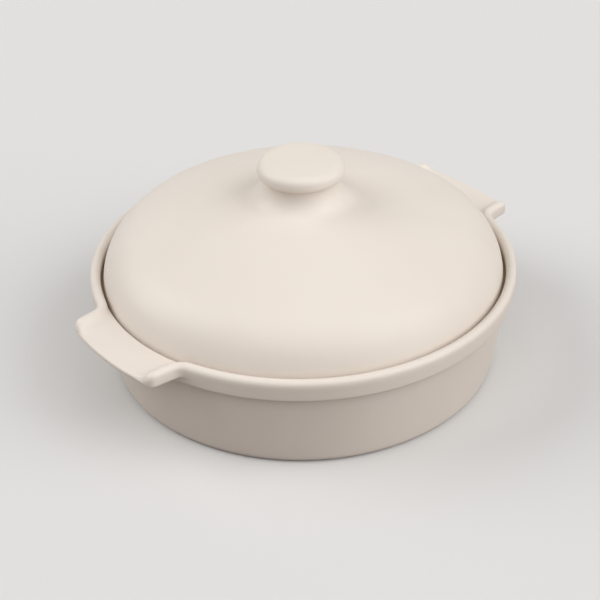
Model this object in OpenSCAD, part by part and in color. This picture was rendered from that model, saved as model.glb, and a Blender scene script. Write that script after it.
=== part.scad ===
// Low round casserole dish with two lug handles and a loose domed lid, all in fired clay.
// Millimetres, +Z up. The origin is the middle of the base, on the table, and the handles lie along X.

/* [Dish] */
// Outside diameter of the rim
rim_d = 290; // [250:1:340]
// Height of the dish to the top of its lip
dish_h = 73; // [60:0.5:110]
// Thickness of the lip, which has a full-round top
lip_t = 7; // [5.5:0.1:8.5]
// Height of the rim band, from the top of the lip to its lower edge
band_h = 15; // [13.5:0.1:22]
// How far the rim stands out from the top of the wall below it
band_step = 5; // [3:0.1:7]
// How far the band's lower edge draws in from the rim
band_draft = 0.7; // [0:0.1:1.4]
// Radius of the band's lower edge
band_edge_r = 1.5; // [0.6:0.1:2]
// Thickness of the wall
wall_t = 7.5; // [6:0.1:9]
// Slope of the wall from upright, in degrees
wall_slope = 8; // [2:0.5:14]
// Radius of the outside edge round the base
base_r = 5.6; // [3:0.1:10]
// Thickness of the floor
floor_t = 6; // [4:0.1:10]
// Radius of the inside corner between floor and wall
inside_r = 14; // [6:0.5:24]
// Width of the ring that the dish stands on
foot_w = 9; // [5:0.5:14]
// Depth of the hollow inside the foot ring
foot_h = 1.5; // [0.8:0.1:3]

/* [Seat of the lid] */
// Depth of the ledge below the top of the lip
seat_depth = 10.5; // [9:0.1:12.5]
// Gap all round between the lid's edge and the lip
lid_play = 1.5; // [0.6:0.1:2]

/* [Handles] */
// How far a handle reaches out past the rim
handle_reach = 19.5; // [14:0.1:30]
// Width over the two ridges of a handle at its tip
handle_w = 85.2; // [60:0.1:120]
// Angle by which each side of a handle leans in towards its tip, in degrees
handle_taper = 5; // [0:0.5:10]
// Depth of the handle's floor below the top of the lip
handle_drop = 5.4; // [5:0.1:7.5]
// Thickness of the handle's floor, which has a full-round outer edge
handle_t = 4.4; // [4:0.1:6]
// Radius of the corner where the lip turns out into a ridge
bend_r = 8; // [5:0.5:12]
// Radius of a ridge's lower edge on the outside
ridge_edge_r = 3; // [1:0.1:3]
// Radius of the hollow where a ridge runs down to the handle's floor
cove_r = 8; // [4:0.1:9]
// Radius, seen from the side, by which a ridge falls away at its tip
tip_fall_r = 7.5; // [6.5:0.5:12]
// How far the tips of the ridges stand out past the edge of the handle's floor
tip_proud = 0.5; // [0.4:0.1:2]

/* [Lid] */
// Height of the dome above the lid's edge
dome_h = 57.8; // [50:0.1:80]
// Radius of the dome's shoulder
shoulder_r = 39.5; // [25:0.5:45]
// Thickness of the lid
lid_t = 6; // [4.5:0.1:8]
// Radius of the lid's lower edge
lid_edge_r = 1; // [0.5:0.1:1.5]

/* [Knob] */
// Diameter of the knob
knob_d = 58.5; // [54:0.5:70]
// Height of the knob's top above the top of the dome
knob_h = 26; // [20:0.5:40]
// Thickness of the knob's disc
knob_t = 10.2; // [9:0.1:14]
// Radius of the knob's top edge
knob_top_r = 5.5; // [2:0.1:6]
// Radius of the knob's lower edge
knob_low_r = 3; // [1:0.1:3]
// Diameter of the neck under the knob
neck_d = 50; // [34:0.5:52]
// Radius of the sweep from the neck out to the dome
sweep_r = 16; // [8:0.5:18]
// Thickness of clay round the hollow under the knob
knob_wall = 9; // [6:0.5:12]

/* [Hidden] */
$fn = 96;
glaze = [0.92, 0.87, 0.81];
spare = 1;
// The ridges are this much slimmer than the round posts at their ends, so that they close inside them
bead = 0.06;
// How far short of the middle of a post each ridge stops
gap = 0.1;
// How far a hollow slope cuts into the faces that it runs out on
bite = 0.02;
// Turn of a hollow slope on either side of where two ridges meet, in degrees
join_turn = 20;
// Least flat width left under a ridge beside its lower edge
edge_left = 0.5;
// How far the falling end of a ridge starts above the ridge, and how much it takes off the tip's front
fall_over = 0.5;
fall_bite = 0.3;

// Rim and lip
rim_r = rim_d / 2;
lip_r = lip_t / 2;
lip_z = dish_h - lip_r;
lip_mid_r = rim_r - lip_r;
gallery_r = rim_r - lip_t;
seat_z = dish_h - seat_depth;
band_z = dish_h - band_h;
handle_z = dish_h - handle_drop;
band_angle = atan(band_draft / (handle_z - band_z));
band_edge_z = band_z + band_edge_r;
band_edge_x = rim_r - band_draft * (handle_z - band_edge_z) / (handle_z - band_z) - band_edge_r / cos(band_angle);

// Wall and floor
wall_top_r = rim_r - band_step;
base_x = wall_at(base_r) - base_r / cos(wall_slope);
foot_in_r = base_x - foot_w;
inside_z = foot_h + floor_t;
inside_x = wall_at(inside_z + inside_r) - (wall_t + inside_r) / cos(wall_slope);

// Handles: each ridge is the lip turned outwards, and ends in a round tip
handle_low_z = handle_z - handle_t;
handle_edge_r = handle_t / 2;
handle_out_r = rim_r + handle_reach;
floor_out_r = handle_out_r - tip_proud;
tip_y = handle_w / 2 - lip_r;
tip = [sqrt(pow(handle_out_r - lip_r, 2) - tip_y * tip_y), tip_y];
ridge_way = [cos(handle_taper), -sin(handle_taper)];
ridge_side = [sin(handle_taper), cos(handle_taper)];
bend_mid_r = bend_r + lip_r;
bend_side = tip * ridge_side + bend_mid_r;
bend_way = sqrt(pow(lip_mid_r + bend_mid_r, 2) - bend_side * bend_side);
bend_at = ridge_way * bend_way + ridge_side * bend_side;
bend_from = atan2(bend_at.y, bend_at.x);
bend_turn = acos(bend_side / (lip_mid_r + bend_mid_r));
ridge_start = bend_at - ridge_side * bend_mid_r;
ridge_len = tip * ridge_way - bend_way;
ridge_r = lip_r - bead;
ridge_z = lip_z - bead;
ridge_low_z = handle_low_z + bead;
ridge_low_r = min(ridge_edge_r, lip_r - edge_left);
fall_x = ridge_len + lip_r - fall_bite - tip_fall_r;
fall_z = dish_h + fall_over - tip_fall_r;
bend_gap = gap / bend_mid_r * 180 / PI;
lip_gap = gap / lip_mid_r * 180 / PI;
cove_from = -90 - handle_taper - join_turn;
cove_z = handle_z + cove_r - bite;
cove_x = sqrt(pow(ridge_r + cove_r - bite, 2) - pow(ridge_z - cove_z, 2));
cove_out_r = floor_out_r - handle_edge_r - spare / 2;

// Lid
lid_r = gallery_r - lid_play;
shoulder_z = seat_z + lid_edge_r;
shoulder_at = [lid_r - shoulder_r, shoulder_z];
crown_r = (pow(shoulder_at.x, 2) + pow(dome_h, 2) - pow(shoulder_r, 2)) / (2 * (dome_h - shoulder_r));
crown_at = [0, shoulder_z + dome_h - crown_r];
crown_way = (shoulder_at - crown_at) / (crown_r - shoulder_r);
dome_top = shoulder_z + dome_h;

// Knob
knob_r = knob_d / 2;
neck_r = neck_d / 2;
knob_top = dome_top + knob_h;
knob_low = knob_top - knob_t;
sweep_x = neck_r + sweep_r;
sweep_at = [sweep_x, crown_at.y + sqrt(pow(crown_r + sweep_r, 2) - sweep_x * sweep_x)];
sweep_foot = crown_at + (sweep_at - crown_at) * crown_r / (crown_r + sweep_r);
hollow_r = neck_r - knob_wall;
hollow_top = knob_top - knob_wall;

// Outside radius of the wall at a height
function wall_at(z) = wall_top_r - (band_z - z) * tan(wall_slope);

// Inside radius of the wall at a height
function inside_at(z) = wall_at(z) - wall_t / cos(wall_slope);

// A rectangle in a section, from its lower inner corner to its upper outer one
module block(low, high) {
  translate(low) square(high - low);
}

// A disc in a section
module disc(at, r) {
  translate(at) circle(r);
}

// Section of the dish: foot ring, wall, floor, ledge, rim band and lip
module bowl_section() {
  difference() {
    union() {
      polygon([
        [0, foot_h],
        [foot_in_r - foot_h, foot_h],
        [foot_in_r, 0],
        [base_x, 0],
        [base_x + base_r * cos(wall_slope), base_r * (1 - sin(wall_slope))],
        [wall_top_r, band_z],
        [band_edge_x, band_z],
        [band_edge_x + band_edge_r * cos(band_angle), band_edge_z - band_edge_r * sin(band_angle)],
        [rim_r, handle_z],
        [rim_r, lip_z],
        [gallery_r, lip_z],
        [gallery_r, seat_z],
        [0, seat_z]
      ]);
      disc([base_x, base_r], base_r);
      disc([band_edge_x, band_edge_z], band_edge_r);
      disc([lip_mid_r, lip_z], lip_r);
    }
    polygon([
      [0, inside_z],
      [inside_x, inside_z],
      [inside_x + inside_r * cos(wall_slope), inside_z + inside_r * (1 - sin(wall_slope))],
      [inside_at(seat_z + spare), seat_z + spare],
      [0, seat_z + spare]
    ]);
    disc([inside_x, inside_z + inside_r], inside_r);
  }
}

// Section of a handle's ridge about its middle line, with the handle's outer side to the right
module ridge_section(half, low, mid) {
  block([-half, low], [half - ridge_low_r, mid]);
  block([-half, low + ridge_low_r], [half, mid]);
  disc([half - ridge_low_r, low + ridge_low_r], ridge_low_r);
  disc([0, mid], half);
}

// Section of the hollow slope from a ridge down to the handle's floor, moved in over the floor by a distance
module cove_section(shift) {
  difference() {
    polygon([
      [0, handle_z - handle_edge_r],
      [-cove_x - shift, handle_z - handle_edge_r],
      [-cove_x - shift, cove_z],
      [0, ridge_z]
    ]);
    disc([-cove_x - shift, cove_z], cove_r);
  }
}

// Section of a handle's floor
module shelf_section() {
  block([lip_mid_r, handle_low_z], [floor_out_r - handle_edge_r, handle_z]);
  disc([floor_out_r - handle_edge_r, handle_low_z + handle_edge_r], handle_edge_r);
}

// The break in the lip above a handle's floor
module lip_break() {
  rotate_extrude(start = -bend_from - lip_gap, angle = 2 * (bend_from + lip_gap))
    block([gallery_r - spare, handle_z], [rim_r + spare, dish_h + spare]);
}

// Carries a section round the bend from the lip to a ridge
module round_bend() {
  translate(bend_at)
    rotate_extrude(start = 180 + bend_from + bend_gap, angle = bend_turn - 2 * bend_gap)
      translate([bend_mid_r, 0])
        mirror([1, 0])
          children();
}

// Carries a section out along a ridge to its tip
module along_ridge() {
  translate(ridge_start + ridge_way * gap)
    rotate([90, 0, 90 - handle_taper])
      linear_extrude(ridge_len - 2 * gap)
        children();
}

// A post with a round top, where two ridges meet or one ends
module post(at, r) {
  translate(at)
    rotate_extrude()
      intersection() {
        ridge_section(r, handle_low_z, lip_z);
        block([0, 0], [handle_reach, dish_h + spare]);
      }
}

// The hollow slope round the inner side of a post
module cove_round(at, turn) {
  translate(at)
    rotate_extrude(start = cove_from, angle = turn)
      mirror([1, 0])
        cove_section(bead);
}

// The space over a handle's floor that the hollow slopes keep to
module cove_space() {
  rise = dish_h - handle_z;
  rotate_extrude()
    polygon([
      [gallery_r, handle_low_z],
      [cove_out_r, handle_low_z],
      [cove_out_r, handle_z],
      [cove_out_r - rise, dish_h],
      [gallery_r, dish_h]
    ]);
}

// The space that a ridge keeps to: seen from the side, its top falls away in an arc to the tip
module fall_space() {
  translate(ridge_start)
    rotate([90, 0, -handle_taper])
      linear_extrude(2 * handle_w, center = true) {
        block([-2 * bend_mid_r, 0], [fall_x, dish_h + spare]);
        disc([fall_x, fall_z], tip_fall_r);
      }
}

// One ridge of a handle, from the end of the lip to the tip
module ridge() {
  post(bend_at * lip_mid_r / (lip_mid_r + bend_mid_r), lip_r + bead);
  round_bend() ridge_section(ridge_r, ridge_low_z, ridge_z);
  post(ridge_start, lip_r);
  intersection() {
    union() {
      along_ridge() ridge_section(ridge_r, ridge_low_z, ridge_z);
      post(tip, lip_r);
    }
    fall_space();
  }
  intersection() {
    union() {
      round_bend() cove_section(0);
      cove_round(ridge_start, 2 * join_turn);
      along_ridge() cove_section(0);
      cove_round(tip, 90 + join_turn);
    }
    cove_space();
  }
}

// The flat floor of a handle, cut along the middle lines of its two ridges
module shelf() {
  root = ridge_start - ridge_way * bend_mid_r;
  intersection() {
    rotate_extrude(start = -bend_from, angle = 2 * bend_from) shelf_section();
    linear_extrude(dish_h)
      polygon([
        root,
        tip,
        tip * 2,
        [tip.x, -tip.y] * 2,
        [tip.x, -tip.y],
        [root.x, -root.y]
      ]);
  }
}

// One lug handle
module handle() {
  shelf();
  for (side = [0, 1]) mirror([0, side, 0]) ridge();
}

// Section of the dome, set in from its outside by a distance
module dome_section(inset) {
  intersection() {
    union() {
      intersection() {
        disc(crown_at, crown_r - inset);
        polygon([
          crown_at,
          crown_at + crown_way * crown_r * 2,
          [0, crown_at.y + crown_r * 2]
        ]);
      }
      disc(shoulder_at, shoulder_r - inset);
    }
    block([0, shoulder_z], [lid_r, dome_top + spare]);
  }
}

// Section of the knob with its neck and the sweep down to the dome
module knob_section() {
  block([0, knob_low], [knob_r - knob_low_r, knob_low + knob_low_r]);
  disc([knob_r - knob_low_r, knob_low + knob_low_r], knob_low_r);
  block([0, knob_low + knob_low_r], [knob_r, knob_top - knob_top_r]);
  disc([knob_r - knob_top_r, knob_top - knob_top_r], knob_top_r);
  block([0, knob_low + knob_low_r], [knob_r - knob_top_r, knob_top]);
  block([0, dome_top - lid_t], [neck_r, knob_low + knob_low_r]);
  difference() {
    polygon([
      [0, sweep_foot.y - lid_t / 2],
      [sweep_foot.x, sweep_foot.y - lid_t / 2],
      sweep_foot,
      sweep_at,
      [0, sweep_at.y]
    ]);
    disc(sweep_at, sweep_r);
  }
}

// Section of the hollow inside the lid and up under the knob
module hollow_section() {
  block([0, seat_z - spare], [lid_r - lid_t, shoulder_z]);
  dome_section(lid_t);
  block([0, shoulder_z], [hollow_r, hollow_top - hollow_r / 2]);
  block([0, shoulder_z], [hollow_r / 2, hollow_top]);
  disc([hollow_r / 2, hollow_top - hollow_r / 2], hollow_r / 2);
}

module dish() {
  color(glaze) {
    difference() {
      rotate_extrude() bowl_section();
      for (turn = [0, 180]) rotate([0, 0, turn]) lip_break();
    }
    for (turn = [0, 180]) rotate([0, 0, turn]) handle();
  }
}

module lid() {
  color(glaze)
    rotate_extrude()
      difference() {
        union() {
          block([0, seat_z], [lid_r - lid_edge_r, shoulder_z]);
          disc([lid_r - lid_edge_r, shoulder_z], lid_edge_r);
          dome_section(0);
          knob_section();
        }
        hollow_section();
      }
}

dish();
lid();
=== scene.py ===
from math import acos, atan2, cos, degrees, hypot, radians, sin, sqrt, tan
import bpy
import bmesh
from mathutils import Matrix, Vector


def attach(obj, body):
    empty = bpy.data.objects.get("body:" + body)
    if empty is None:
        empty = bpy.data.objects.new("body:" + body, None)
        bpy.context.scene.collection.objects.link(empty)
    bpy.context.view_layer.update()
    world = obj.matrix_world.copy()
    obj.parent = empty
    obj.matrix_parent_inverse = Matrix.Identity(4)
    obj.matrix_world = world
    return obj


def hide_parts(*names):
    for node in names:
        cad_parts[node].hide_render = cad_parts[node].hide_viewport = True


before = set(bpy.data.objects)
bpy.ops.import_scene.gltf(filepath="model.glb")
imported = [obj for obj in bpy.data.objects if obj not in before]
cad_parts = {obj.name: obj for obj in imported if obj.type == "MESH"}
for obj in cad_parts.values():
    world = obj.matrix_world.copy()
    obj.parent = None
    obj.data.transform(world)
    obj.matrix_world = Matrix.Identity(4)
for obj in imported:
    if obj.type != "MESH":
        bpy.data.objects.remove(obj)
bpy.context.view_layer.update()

scene = bpy.context.scene
scene.view_settings.view_transform = "Standard"
mm = 0.001
close = 1e-6                   # vertices nearer than this are one
print("frame loaded:", ", ".join(sorted(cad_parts)))


# The camera and the lamps are set out as seen from the front of the table,
# x to the right and y away, and then turned to the handles' line
viewTurn = Matrix.Rotation(radians(-40.25), 4, "Z")

cameraSet = {
    "lens": 87.695,
    "sensor": 36,
    "distance": 1.0,
    "aimHeight": 0.06975,
    "elevation": 31.914,
    "tilt": 1.552,
    "pan": 0.147,
    "roll": 1.186,
}


def setCamera(s):
    e, t, p, r = (radians(s[k]) for k in ("elevation", "tilt", "pan", "roll"))
    place = Vector((0, -s["distance"] * cos(e), s["aimHeight"] + s["distance"] * sin(e)))
    right, up, back = Vector((1, 0, 0)), Vector((0, sin(e), cos(e))), Vector((0, -cos(e), sin(e)))
    back, up = back * cos(t) + up * sin(t), up * cos(t) - back * sin(t)
    back, right = back * cos(p) + right * sin(p), right * cos(p) - back * sin(p)
    right, up = right * cos(r) - up * sin(r), right * sin(r) + up * cos(r)
    data = bpy.data.cameras.new("camera")
    data.lens = s["lens"]
    data.sensor_width = s["sensor"]
    data.clip_start = 0.01
    camera = bpy.data.objects.new("camera", data)
    scene.collection.objects.link(camera)
    axes = Matrix((right, up, back)).transposed().to_4x4()
    camera.matrix_world = viewTurn @ Matrix.Translation(place) @ axes
    scene.camera = camera


setCamera(cameraSet)
print("camera set")


# Node helpers
def addNode(tree, kind, **values):
    node = tree.nodes.new(kind)
    for name, value in values.items():
        setattr(node, name, value)
    return node


def setSockets(node, **values):
    for name, value in values.items():
        node.inputs[name].default_value = value


def newMaterial(name):
    mat = bpy.data.materials.new(name)
    mat.use_nodes = True
    tree = mat.node_tree
    return mat, tree, tree.nodes["Principled BSDF"]


# Uneven firing of the clay: a soft cloud of tone and a fine dimpled height, shared by the glaze and by the
# darker clay tone (bare clay on the foot ring, painted shade in the gap under the lid)
firedSet = {
    "cloudFrom": 0.3,
    "cloudTo": 0.7,
    "speckFrom": 0.7,
    "speckTo": 0.8,
    "speckColor": (0.42, 0.31, 0.22, 1),
    "waveScale": 55,
    "grainShare": 0.12,        # height of the grain beside that of the waves
}


def firedToneGroup(s):
    group = bpy.data.node_groups.new("firedTone", "ShaderNodeTree")
    face = group.interface
    for name in ("Pale", "Deep"):
        face.new_socket(name, in_out="INPUT", socket_type="NodeSocketColor")
    for name in ("Cloud Scale", "Grain Scale", "Speck Amount"):
        face.new_socket(name, in_out="INPUT", socket_type="NodeSocketFloat")
    face.new_socket("Color", in_out="OUTPUT", socket_type="NodeSocketColor")
    for name in ("Cloud", "Height"):
        face.new_socket(name, in_out="OUTPUT", socket_type="NodeSocketFloat")
    link = group.links.new
    given = addNode(group, "NodeGroupInput")
    out = addNode(group, "NodeGroupOutput")
    coord = addNode(group, "ShaderNodeTexCoord")

    cloud = addNode(group, "ShaderNodeTexNoise")
    setSockets(cloud, Detail=4, Roughness=0.55, Distortion=0.4)
    link(coord.outputs["Object"], cloud.inputs["Vector"])
    link(given.outputs["Cloud Scale"], cloud.inputs["Scale"])
    spread = addNode(group, "ShaderNodeMapRange")
    setSockets(spread, **{"From Min": s["cloudFrom"], "From Max": s["cloudTo"]})
    link(cloud.outputs["Fac"], spread.inputs["Value"])
    tone = addNode(group, "ShaderNodeMix", data_type="RGBA")
    link(spread.outputs["Result"], tone.inputs["Factor"])
    link(given.outputs["Pale"], tone.inputs["A"])
    link(given.outputs["Deep"], tone.inputs["B"])

    # iron specks that show through the glaze
    specks = addNode(group, "ShaderNodeTexNoise")
    setSockets(specks, Detail=1, Roughness=0.5)
    link(coord.outputs["Object"], specks.inputs["Vector"])
    link(given.outputs["Grain Scale"], specks.inputs["Scale"])
    sparse = addNode(group, "ShaderNodeMapRange")
    setSockets(sparse, **{"From Min": s["speckFrom"], "From Max": s["speckTo"]})
    link(specks.outputs["Fac"], sparse.inputs["Value"])
    faint = addNode(group, "ShaderNodeMath", operation="MULTIPLY")
    link(sparse.outputs["Result"], faint.inputs[0])
    link(given.outputs["Speck Amount"], faint.inputs[1])
    speckled = addNode(group, "ShaderNodeMix", data_type="RGBA")
    setSockets(speckled, B=s["speckColor"])
    link(faint.outputs[0], speckled.inputs["Factor"])
    link(tone.outputs["Result"], speckled.inputs["A"])

    # height: slow waves of the glaze under a fine grain
    waves = addNode(group, "ShaderNodeTexNoise")
    setSockets(waves, Scale=s["waveScale"], Detail=2, Roughness=0.4)
    link(coord.outputs["Object"], waves.inputs["Vector"])
    height = addNode(group, "ShaderNodeMath", operation="MULTIPLY_ADD")
    height.inputs[1].default_value = s["grainShare"]
    link(specks.outputs["Fac"], height.inputs[0])
    link(waves.outputs["Fac"], height.inputs[2])

    link(speckled.outputs["Result"], out.inputs["Color"])
    link(spread.outputs["Result"], out.inputs["Cloud"])
    link(height.outputs[0], out.inputs["Height"])
    return group


firedTone = firedToneGroup(firedSet)

glazeSet = {
    "pale": (0.80, 0.73, 0.66, 1),
    "deep": (0.77, 0.695, 0.62, 1),
    "cloudScale": 9,
    "grainScale": 850,
    "specks": 0.05,
    "smoothest": 0.40,
    "roughest": 0.47,
    "gloss": 0.4,
    "bump": 0.25,
    "bumpDepth": 0.00025,
}

# Darker clay tone: bare clay on the foot ring, and painted shade on the ledge and the lid's lower edge, in
# the gap between lid and dish
clayAndGapShadeSet = {
    "pale": (0.62, 0.50, 0.385, 1),
    "deep": (0.53, 0.41, 0.30, 1),
    "cloudScale": 40,
    "grainScale": 1400,
    "specks": 0.5,
    "smoothest": 0.82,
    "roughest": 0.93,
    "gloss": 0.25,
    "bump": 0.6,
    "bumpDepth": 0.0006,
}


def firedMaterial(name, s):
    mat, tree, shader = newMaterial(name)
    link = tree.links.new
    fired = addNode(tree, "ShaderNodeGroup", node_tree=firedTone)
    setSockets(fired, **{"Pale": s["pale"], "Deep": s["deep"], "Cloud Scale": s["cloudScale"],
                         "Grain Scale": s["grainScale"], "Speck Amount": s["specks"]})
    rough = addNode(tree, "ShaderNodeMapRange")
    setSockets(rough, **{"To Min": s["smoothest"], "To Max": s["roughest"]})
    link(fired.outputs["Cloud"], rough.inputs["Value"])
    bump = addNode(tree, "ShaderNodeBump")
    setSockets(bump, Strength=s["bump"], Distance=s["bumpDepth"])
    link(fired.outputs["Height"], bump.inputs["Height"])
    setSockets(shader, **{"Specular IOR Level": s["gloss"]})
    link(fired.outputs["Color"], shader.inputs["Base Color"])
    link(rough.outputs["Result"], shader.inputs["Roughness"])
    link(bump.outputs["Normal"], shader.inputs["Normal"])
    return mat


creamGlaze = firedMaterial("creamGlaze", glazeSet)
# the darker clay tone: bare clay on the foot ring, painted shade in the gap under the lid
clayAndGapShade = firedMaterial("clayAndGapShade", clayAndGapShadeSet)
print("materials made")


# A section is drawn in the xz plane from one vertex, in millimetres, by straight runs and arcs
def startSection(bm, r, z):
    return bm.verts.new((r * mm, 0, z * mm))


def runTo(bm, tip, r, z, steps=1):
    step = (Vector((r * mm, 0, z * mm)) - tip.co) / steps
    for i in range(steps):
        tip = bmesh.ops.extrude_vert_indiv(bm, verts=[tip])["verts"][0]
        bmesh.ops.translate(bm, verts=[tip], vec=step)
    return tip


def arcRound(bm, tip, r, z, turn, steps):
    middle = (r * mm, 0, z * mm)
    turned = bmesh.ops.spin(bm, geom=[tip], cent=middle, axis=(0, -1, 0), angle=radians(turn), steps=steps)
    return turned["geom_last"][0]


def finishPiece(bm, name, body, node, materials, levels):
    bmesh.ops.remove_doubles(bm, verts=bm.verts[:], dist=close)
    bmesh.ops.recalc_face_normals(bm, faces=bm.faces[:])
    for f in bm.faces:
        f.smooth = True
    mesh = bpy.data.meshes.new(name)
    bm.to_mesh(mesh)
    bm.free()
    for mat in materials:
        mesh.materials.append(mat)
    piece = bpy.data.objects.new(name, mesh)
    scene.collection.objects.link(piece)
    soft = piece.modifiers.new("soft", "SUBSURF")
    soft.levels = soft.render_levels = levels
    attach(piece, body)
    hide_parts(node)
    return piece


seatZ = 62.5                   # height of the ledge in the dish that the lid stands on

# Lid: knob, neck, sweep, crown, shoulder and the hollow underside in one spun section
lidSet = {
    "segments": 72,
    "levels": 2,
    "radius": 136.5,
    "thick": 6.0,
    "edgeRound": 1.0,
    "innerRound": 0.8,
    "domeTop": 121.3,
    "shoulderRound": 39.5,
    "knobTop": 147.3,
    "knobLow": 137.1,
    "knobRadius": 29.25,
    "knobTopRound": 5.5,
    "knobLowRound": 3.0,
    "knobHold": 1.25,          # short run that keeps the knob's top flat beside its edge
    "neckRadius": 25.0,
    "sweepRound": 16.0,
    "hollowTop": 138.3,
    "hollowRadius": 16.12,
    "hollowRound": 8.0,
    "mouthRound": 2.0,
    "gapShadeBelow": 64.1,         # below this height the lid's lower edge gets the darker clay tone, as painted shade in the gap
}


# Middle of an arc that touches the crown, and how far from upright it touches, in degrees
def touchCrown(crownZ, far, r):
    up = sqrt(far ** 2 - r ** 2)
    return (r, crownZ + up), degrees(atan2(r, up))


def drawKnob(bm, s, sweepZ):
    flat = s["knobRadius"] - s["knobTopRound"]
    under = s["knobRadius"] - s["knobLowRound"]
    crease = under - s["neckRadius"]
    tip = startSection(bm, 0, s["knobTop"])
    tip = runTo(bm, tip, flat - s["knobHold"], s["knobTop"], 3)
    tip = runTo(bm, tip, flat, s["knobTop"])
    tip = arcRound(bm, tip, flat, s["knobTop"] - s["knobTopRound"], -90, 5)
    tip = runTo(bm, tip, s["knobRadius"], s["knobLow"] + s["knobLowRound"])
    tip = arcRound(bm, tip, under, s["knobLow"] + s["knobLowRound"], -90, 4)
    tip = arcRound(bm, tip, under, s["knobLow"] - crease, 90, 4)
    return runTo(bm, tip, s["neckRadius"], sweepZ)


def drawLidEdge(bm, s, tip):
    edgeZ = seatZ + s["edgeRound"]
    inner = s["radius"] - s["thick"]
    innerMiddle = inner + s["innerRound"]
    tip = arcRound(bm, tip, s["radius"] - s["edgeRound"], edgeZ, -90, 3)
    tip = runTo(bm, tip, innerMiddle, seatZ, 2)
    tip = arcRound(bm, tip, innerMiddle, seatZ + s["innerRound"], -90, 3)
    return runTo(bm, tip, inner, edgeZ)


def drawKnobHollow(bm, s, tip):
    roundZ = s["hollowTop"] - s["hollowRound"]
    tip = runTo(bm, tip, s["hollowRadius"], roundZ, 3)
    tip = arcRound(bm, tip, s["hollowRadius"] - s["hollowRound"], roundZ, 90, 4)
    return runTo(bm, tip, 0, s["hollowTop"], 2)


def makeLid(s):
    # the crown's radius, so that it passes through the top of the dome and touches the shoulder
    shoulderX = s["radius"] - s["shoulderRound"]
    rise = s["domeTop"] - seatZ - s["edgeRound"]
    crownRound = (shoulderX ** 2 + rise ** 2 - s["shoulderRound"] ** 2) / (2 * (rise - s["shoulderRound"]))
    crownZ = s["domeTop"] - crownRound
    insideRound = crownRound - s["thick"]
    shoulder, shoulderLean = touchCrown(crownZ, crownRound - s["shoulderRound"], shoulderX)
    sweep, sweepLean = touchCrown(crownZ, crownRound + s["sweepRound"], s["neckRadius"] + s["sweepRound"])
    mouth, mouthLean = touchCrown(crownZ, insideRound + s["mouthRound"], s["hollowRadius"] + s["mouthRound"])

    bm = bmesh.new()
    tip = drawKnob(bm, s, sweep[1])
    tip = arcRound(bm, tip, *sweep, 90 - sweepLean, 7)                   # sweep out to the crown
    tip = arcRound(bm, tip, 0, crownZ, sweepLean - shoulderLean, 6)      # crown
    tip = arcRound(bm, tip, *shoulder, shoulderLean - 90, 8)
    tip = drawLidEdge(bm, s, tip)
    tip = arcRound(bm, tip, *shoulder, 90 - shoulderLean, 7)             # inside of the shoulder
    tip = arcRound(bm, tip, 0, crownZ, shoulderLean - mouthLean, 6)      # inside of the crown
    tip = arcRound(bm, tip, *mouth, mouthLean - 90, 3)                   # mouth of the knob's hollow
    drawKnobHollow(bm, s, tip)
    bmesh.ops.spin(bm, geom=bm.verts[:] + bm.edges[:], axis=(0, 0, 1), angle=radians(360),
                   steps=s["segments"], use_merge=True)
    # faces of the lid's lower edge get the darker clay tone, as painted shade in the gap
    for f in bm.faces:
        f.material_index = int(max(v.co.z for v in f.verts) < s["gapShadeBelow"] * mm)
    return finishPiece(bm, "glazedLid", "lid", "lid", [creamGlaze, clayAndGapShade], s["levels"])


makeLid(lidSet)
print("lid made")


# Dish: a quarter of the bowl with half a lug, mirrored twice
dishSet = {
    "ringSteps": 14,
    "lugSteps": 4,
    "levels": 2,
    "wallTop": 140.0,          # outside radius of the wall, at the height of the band's lower edge
    "wallSlope": 8.0,
    "wallThick": 7.5,
    "baseRound": 5.6,
    "floorLow": 1.5,
    "floorTop": 7.5,
    "insideRound": 14.0,
    "footInside": 118.0,
    "footHold": 5.0,           # run beside the foot ring that keeps the hollow inside it flat
    "footEdge": ((-2.0, 1.5), (-0.4, 0.35), (0.6, 0)),
    "bandLow": 58.0,
    "bandDraft": 0.7,          # how far the band draws in, from the handle's floor down to its lower edge
    "bandRound": 1.5,
    "bandCorner": 1.0,         # hollow corner between the wall and the band
    "seatRound": 0.8,
    # darker clay tone: bare clay on the foot ring, and painted shade on the ledge between these heights and
    # radii, in the gap under the lid
    "footTop": 0.4,
    "footFrom": 117,
    "gapShadeHeights": (61.2, 65.5),
    "gapShadeRadii": (132.5, 138.05),
}

lugSet = {
    "lipMiddle": 141.5,
    "half": 3.5,               # half the thickness of lip and ridge
    "bendRadius": 11.5,
    "width": 85.2,             # over the two ridges at their tips
    "lean": 5.0,
    "top": 73.0,
    "floor": 67.6,
    "under": 63.2,
    "reach": 163.98,           # radius of the floor's outer edge, on the middle line
    "tipReach": 164.5,         # and at the ridges' tips
    "end": 30.4,               # run along the ridge from the lip to the lug's outer edge
    # one entry a row: run, share of the hollow slope, radius of floor and of underside on the middle line
    "rows": (
        (2.18, 0.0, 139.0, 145.3),
        (4.37, 0.14, 140.8, 146.2),
        (6.55, 0.40, 142.8, 147.4),
        (8.73, 0.85, 145.0, 148.8),
        (10.91, 1.0, 147.3, 150.2),
        (13.10, 1.0, 149.8, 151.8),
        (17.0, 1.0, 152.6, 153.6),
        (20.5, 1.0, 155.3, 155.5),
    ),
    "tipRows": (6.5, 4.6, 3.0, 1.7, 0.8, 0.25),   # distances from the outer edge
    "tipRound": 5.5,           # radius of the lug's corner, seen from above
    "tipFall": 6.0,            # run over which the crest falls away to the outer edge
    "edgeRound": 2.2,          # outer edge of the floor
    "lowRound": 4.5,           # run over which the underside rises to the outer edge
    # points of the ridge's section beside its middle line: heights above the underside, and above the floor
    "lowEdge": ((2.0, 0), (3.5, 0.1), (3.5, 2.8)),
    "slope": ((-3.1, 3.7), (-4.15, 2.6), (-5.5, 1.55), (-7.6, 0.6), (-10.6, 0)),
}


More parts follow.
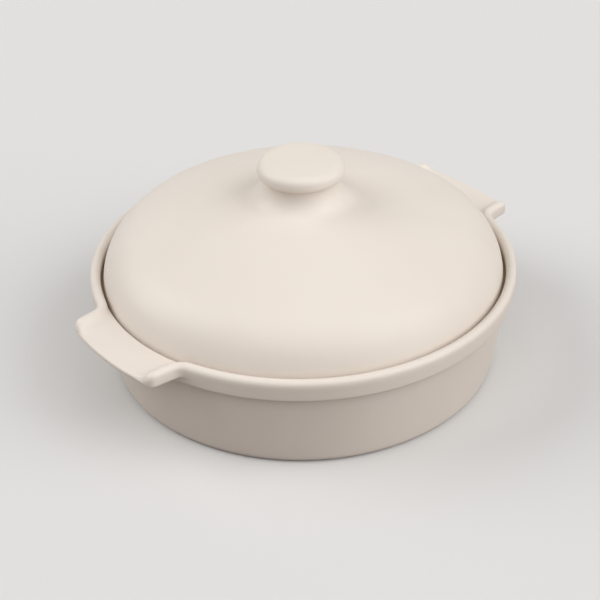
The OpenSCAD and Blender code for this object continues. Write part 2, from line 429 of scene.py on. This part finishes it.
# Where the lip ends and its bend into the ridge turns, worked out from the lug's width and lean
def placeBend(s):
    lean = radians(s["lean"])
    tipY = s["width"] / 2 - s["half"]
    tipX = sqrt((s["tipReach"] - s["half"]) ** 2 - tipY ** 2)
    side = tipX * sin(lean) + tipY * cos(lean) + s["bendRadius"]
    far = s["lipMiddle"] + s["bendRadius"]
    way = sqrt(far ** 2 - side ** 2)
    x = way * cos(lean) + side * sin(lean)
    y = side * cos(lean) - way * sin(lean)
    return {"bendAt": (x, y), "lipEnd": degrees(atan2(y, x)), "bendTurn": degrees(acos(side / far))}


lugSet.update(placeBend(lugSet))
lugSet["edgeZ"] = (lugSet["floor"] + lugSet["under"]) / 2      # height of the outer edge


# Point of the lug beside the ridge's middle line, after a run along it from the end of the lip
def ridgePoint(s, run, side, z):
    bendRun = radians(s["bendTurn"]) * s["bendRadius"]
    turn = radians(180 + s["lipEnd"] + s["bendTurn"] * min(run / bendRun, 1))
    past = max(run - bendRun, 0)
    lean = radians(s["lean"])
    out = s["bendRadius"] - side
    x = s["bendAt"][0] + out * cos(turn) + past * cos(lean)
    y = s["bendAt"][1] + out * sin(turn) - past * sin(lean)
    return Vector((x * mm, y * mm, z * mm))


def polar(r, angle, z):
    return Vector((r * cos(angle) * mm, r * sin(angle) * mm, z * mm))


# Height of a quarter-round at a distance from its edge
def quarterRound(radius, d):
    return sqrt(radius ** 2 - max(radius - d, 0) ** 2)


# Pulls a row of vertices out as a new row of faces, and gives the new row in the same order
def growRow(bm, row):
    edges = [bm.edges.get(pair) for pair in zip(row, row[1:])]
    grown = bmesh.ops.extrude_edge_only(bm, edges=edges)["geom"]
    fresh = {v for v in grown if isinstance(v, bmesh.types.BMVert)}
    return [next(e.other_vert(v) for e in v.link_edges if e.other_vert(v) in fresh) for v in row]


# Sets a run of vertices from the foot of a ridge round to the middle of the handle, level from half-way
def layFloor(verts, r, z):
    first = verts[0].co / mm
    rFirst, angle = hypot(first.x, first.y), atan2(first.y, first.x)
    last = len(verts) - 1
    ease = 0.7
    for j, v in enumerate(verts[1:], 1):
        t = j / last
        height = first.z + (z - first.z) * min(2 * t, 1)
        v.co = polar(rFirst + (r - rFirst) * t ** ease, angle * (1 - t), height)


# Sets one row across the falling round tip of a ridge, at a distance from the lug's outer edge
def layTip(lug, verts, section, d):
    mid = lug["edgeZ"]
    corner = quarterRound(lug["tipRound"], d)
    k = corner / lug["tipRound"]
    # the crest draws in round the corner
    crest = lug["half"] - lug["tipRound"] + corner - lug["half"] * k
    topZ = mid + (lug["top"] - mid) * quarterRound(lug["tipFall"], d) / lug["tipFall"]
    floorZ = mid + quarterRound(lug["edgeRound"], d)
    lowZ = mid - (mid - lug["under"]) * quarterRound(lug["lowRound"], d) / lug["lowRound"]
    foot = section[-1][0]
    for v, (side, z) in zip(verts, section):
        inner = max(side / foot, 0)
        if z < mid:
            z = mid - (mid - z) / (mid - lug["under"]) * (mid - lowZ)
        elif side > 0:
            z = mid + (z - mid) / (lug["top"] - mid) * (topZ - mid)
        else:
            z = floorZ + (z - lug["floor"]) / (lug["top"] - lug["floor"]) * (topZ - floorZ)
        side = crest + side * k if side > 0 else crest + (foot - crest) * inner
        v.co = ridgePoint(lug, lug["end"] - d, side, z)
        # the slope's foot follows the outer edge
        r = v.co.xy.length / mm
        v.co.xy *= (r + (lug["tipReach"] - d - r) * inner) / r


# Place on the sloping wall at a height, this far inside its outer face
def wallPlace(s, z, inside=0):
    slope = radians(s["wallSlope"])
    return s["wallTop"] + (z - s["bandLow"]) * tan(slope) - inside / cos(slope), z


# Draws the dish's section, and gives the two vertices between which the lip turns out into the lug
def drawDish(bm, s, lug):
    slope = radians(s["wallSlope"])
    square = 90 - s["wallSlope"]
    base = wallPlace(s, s["baseRound"], s["baseRound"])
    corner = wallPlace(s, s["bandLow"] - s["bandCorner"], -s["bandCorner"])
    outerEnd = wallPlace(s, corner[1] + s["bandCorner"] * sin(slope))
    ledge = wallPlace(s, seatZ - s["seatRound"], s["wallThick"] - s["seatRound"])
    inside = wallPlace(s, s["floorTop"] + s["insideRound"], s["wallThick"] + s["insideRound"])
    innerEnd = wallPlace(s, inside[1] - s["insideRound"] * sin(slope), s["wallThick"])
    rim = lug["lipMiddle"] + lug["half"]
    throat = lug["lipMiddle"] - lug["half"]
    lipZ = lug["top"] - lug["half"]
    draft = atan2(s["bandDraft"], lug["floor"] - s["bandLow"])
    bandZ = s["bandLow"] + s["bandRound"]
    bandX = rim - (lug["floor"] - bandZ) * tan(draft) - s["bandRound"] / cos(draft)

    tip = startSection(bm, 0, s["floorLow"])
    tip = runTo(bm, tip, s["footInside"] - s["footHold"], s["floorLow"], 4)
    for side, z in s["footEdge"]:
        tip = runTo(bm, tip, s["footInside"] + side, z)
    tip = runTo(bm, tip, base[0], 0, 2)
    tip = arcRound(bm, tip, *base, square, 5)               # edge round the base
    tip = runTo(bm, tip, *outerEnd, 4)
    tip = arcRound(bm, tip, *corner, -square, 3)            # corner under the band
    tip = runTo(bm, tip, bandX, s["bandLow"])
    tip = arcRound(bm, tip, bandX, bandZ, 90 - degrees(draft), 3)
    lugFrom = runTo(bm, tip, rim - (lug["floor"] - lug["under"]) * tan(draft), lug["under"])
    tip = runTo(bm, lugFrom, rim, lug["floor"], 2)
    tip = runTo(bm, tip, rim, lipZ)
    tip = arcRound(bm, tip, lug["lipMiddle"], lipZ, 180, 7)     # full-round lip
    lugTo = runTo(bm, tip, throat, lug["floor"], 3)
    tip = runTo(bm, lugTo, throat, seatZ + s["seatRound"], 2)
    tip = arcRound(bm, tip, throat - s["seatRound"], seatZ + s["seatRound"], -90, 3)
    tip = runTo(bm, tip, ledge[0], seatZ)                   # ledge for the lid
    tip = arcRound(bm, tip, *ledge, square, 3)
    tip = runTo(bm, tip, *innerEnd, 3)
    tip = arcRound(bm, tip, *inside, -square, 5)            # inside corner
    runTo(bm, tip, 0, s["floorTop"], 4)
    return lugFrom, lugTo


# Spins a part of the section to the handle's middle line, and gives the new vertices level with the start
def spinBehindLug(bm, part, start, turn, steps):
    known = set(bm.verts)
    edges = [bm.edges.get(pair) for pair in zip(part, part[1:])]
    bmesh.ops.spin(bm, geom=part + edges, axis=(0, 0, 1), angle=radians(turn), steps=steps)
    left = [v for v in bm.verts if v not in known and abs(v.co.z - start.co.z) < close
            and abs(v.co.xy.length - start.co.xy.length) < close]
    return sorted(left, key=lambda v: -v.co.y)


# Closes the lug's outer edge: floor to underside, and the two sides of the tip
def closeEdge(bm, row, out):
    half = len(row) // 2
    low, high = row[:half], row[half:][::-1]
    edges = [bm.edges.get(pair) for chain in (low, high) for pair in zip(chain, chain[1:])]
    closing = bmesh.ops.bridge_loops(bm, edges=edges)
    cross = [e for e in closing["edges"] if e not in edges]
    cut = bmesh.ops.subdivide_edges(bm, edges=cross, cuts=1)
    for v in cut["geom_inner"]:
        if isinstance(v, bmesh.types.BMVert):
            v.co.xy *= 1 + out * mm / v.co.xy.length


# Half a lug, in rows of faces out from the lip, each across underside, ridge and floor
def growLug(bm, lug, under, lip, over):
    # sections of the lip and of the ridge with its hollow slope, each vertex as (side, height)
    lipSection = [(v.co.xy.length / mm - lug["lipMiddle"], v.co.z / mm) for v in lip]
    ridgeSection = list(lipSection)
    ridgeSection[:len(lug["lowEdge"])] = [(side, lug["under"] + up) for side, up in lug["lowEdge"]]
    ridgeSection[-len(lug["slope"]):] = [(side, lug["floor"] + up) for side, up in lug["slope"]]

    n = len(under)
    top = n + len(lip)
    row = under + lip + over
    for run, share, rFloor, rUnder in lug["rows"]:
        row = growRow(bm, row)
        for v, a, b in zip(row[n:top], lipSection, ridgeSection):
            v.co = ridgePoint(lug, run, a[0] + (b[0] - a[0]) * share, a[1] + (b[1] - a[1]) * share)
        layFloor(row[n::-1], rUnder, lug["under"])
        layFloor(row[top - 1:], rFloor, lug["floor"])
    for d in lug["tipRows"]:
        row = growRow(bm, row)
        layTip(lug, row[n:top], ridgeSection, d)
        rise = quarterRound(lug["edgeRound"], d)
        layFloor(row[n::-1], lug["reach"] - d, lug["edgeZ"] - rise)
        layFloor(row[top - 1:], lug["reach"] - d, lug["edgeZ"] + rise)
    closeEdge(bm, row, lug["tipRows"][-1])


def makeDish(s, lug):
    bm = bmesh.new()
    lugFrom, lugTo = drawDish(bm, s, lug)
    bmesh.ops.rotate(bm, verts=bm.verts[:], matrix=Matrix.Rotation(radians(lug["lipEnd"]), 3, "Z"))
    section = bm.verts[:]
    first, last = section.index(lugFrom), section.index(lugTo)

    # the bowl past the lug, below it and inside it, and then the lug
    bmesh.ops.spin(bm, geom=section + bm.edges[:], axis=(0, 0, 1), angle=radians(90 - lug["lipEnd"]),
                   steps=s["ringSteps"])
    under = spinBehindLug(bm, section[:first + 1], lugFrom, -lug["lipEnd"], s["lugSteps"])
    over = spinBehindLug(bm, section[last:], lugTo, -lug["lipEnd"], s["lugSteps"])
    growLug(bm, lug, under[::-1], section[first:last + 1], over)

    for axis in "YX":
        bmesh.ops.mirror(bm, geom=bm.verts[:] + bm.edges[:] + bm.faces[:], matrix=Matrix.Identity(4),
                         merge_dist=close, axis=axis)
    # the foot ring gets the bare clay tone; the ledge gets the same darker tone as painted shade in the gap
    # under the lid
    for f in bm.faces:
        r = f.calc_center_median().xy.length / mm
        high = max(v.co.z for v in f.verts) / mm
        low = min(v.co.z for v in f.verts) / mm
        foot = high < s["footTop"] and r > s["footFrom"]
        gapShade = (low > s["gapShadeHeights"][0] and high < s["gapShadeHeights"][1]
                and s["gapShadeRadii"][0] < r < s["gapShadeRadii"][1])
        f.material_index = int(foot or gapShade)
    return finishPiece(bm, "glazedDish", "dish", "dish", [creamGlaze, clayAndGapShade], s["levels"])


makeDish(dishSet, lugSet)
print("dish made")


# Table, lamps and sky: the camera and the glaze's gloss see the pale paper, the other light doesn't
def seenMask(tree):
    path = addNode(tree, "ShaderNodeLightPath")
    mask = path.outputs["Is Camera Ray"]
    for ray in ("Is Glossy Ray", "Is Transmission Ray"):
        either = addNode(tree, "ShaderNodeMath", operation="MAXIMUM")
        tree.links.new(mask, either.inputs[0])
        tree.links.new(path.outputs[ray], either.inputs[1])
        mask = either.outputs[0]
    return mask


tableSet = {
    "radius": 6.0,
    "segments": 64,
    "rough": 0.9,
    "seen": (0.72, 0.71, 0.70, 1),
    "cast": (0.20, 0.165, 0.15, 1),
}


def makeTable(s):
    bm = bmesh.new()
    bmesh.ops.create_circle(bm, cap_ends=True, radius=s["radius"], segments=s["segments"])
    mesh = bpy.data.meshes.new("table")
    bm.to_mesh(mesh)
    bm.free()
    table = bpy.data.objects.new("table", mesh)
    scene.collection.objects.link(table)
    mat, tree, shader = newMaterial("tablePaper")
    setSockets(shader, Roughness=s["rough"])
    link = tree.links.new
    tone = addNode(tree, "ShaderNodeMix", data_type="RGBA")
    setSockets(tone, A=s["cast"], B=s["seen"])
    link(seenMask(tree), tone.inputs["Factor"])
    link(tone.outputs["Result"], shader.inputs["Base Color"])
    mesh.materials.append(mat)


makeTable(tableSet)

# soft lamps far off, each given by the way it shines from, the light it sends and how wide it looks
lampSet = {
    "left": {"from": (-1.2, 0.2, 0.8), "strength": 1.42, "spread": 0.82},
    "right": {"from": (1.28, -0.5, 0.78), "strength": 1.54, "spread": 1.0},
    "front": {"from": (0.3, -0.75, 1.5), "strength": 1.15, "spread": 1.2},
}


def makeLamps(lamps):
    for name, s in lamps.items():
        data = bpy.data.lights.new(name + "Lamp", "SUN")
        data.energy = s["strength"]
        data.angle = s["spread"]
        lamp = bpy.data.objects.new(name + "Lamp", data)
        scene.collection.objects.link(lamp)
        at = Vector(s["from"])
        aim = (-at).to_track_quat("-Z", "Y").to_matrix().to_4x4()
        lamp.matrix_world = viewTurn @ Matrix.Translation(at) @ aim


makeLamps(lampSet)

skySet = {
    "light": (1, 0.985, 0.97, 1),
    "strength": 0.22,
    "seen": (0.78, 0.77, 0.757, 1),       # the table's tone far off
}


# The sky lights the dish evenly, and is seen as the pale paper behind it
def makeSky(s):
    sky = bpy.data.worlds.new("sky")
    sky.use_nodes = True
    tree = sky.node_tree
    link = tree.links.new
    light = tree.nodes["Background"]
    setSockets(light, Color=s["light"], Strength=s["strength"])
    paper = addNode(tree, "ShaderNodeBackground")
    setSockets(paper, Color=s["seen"], Strength=1)
    mix = addNode(tree, "ShaderNodeMixShader")
    link(seenMask(tree), mix.inputs["Fac"])
    link(light.outputs["Background"], mix.inputs[1])
    link(paper.outputs["Background"], mix.inputs[2])
    link(mix.outputs["Shader"], tree.nodes["World Output"].inputs["Surface"])
    scene.world = sky


makeSky(skySet)
print("table and lamps made")
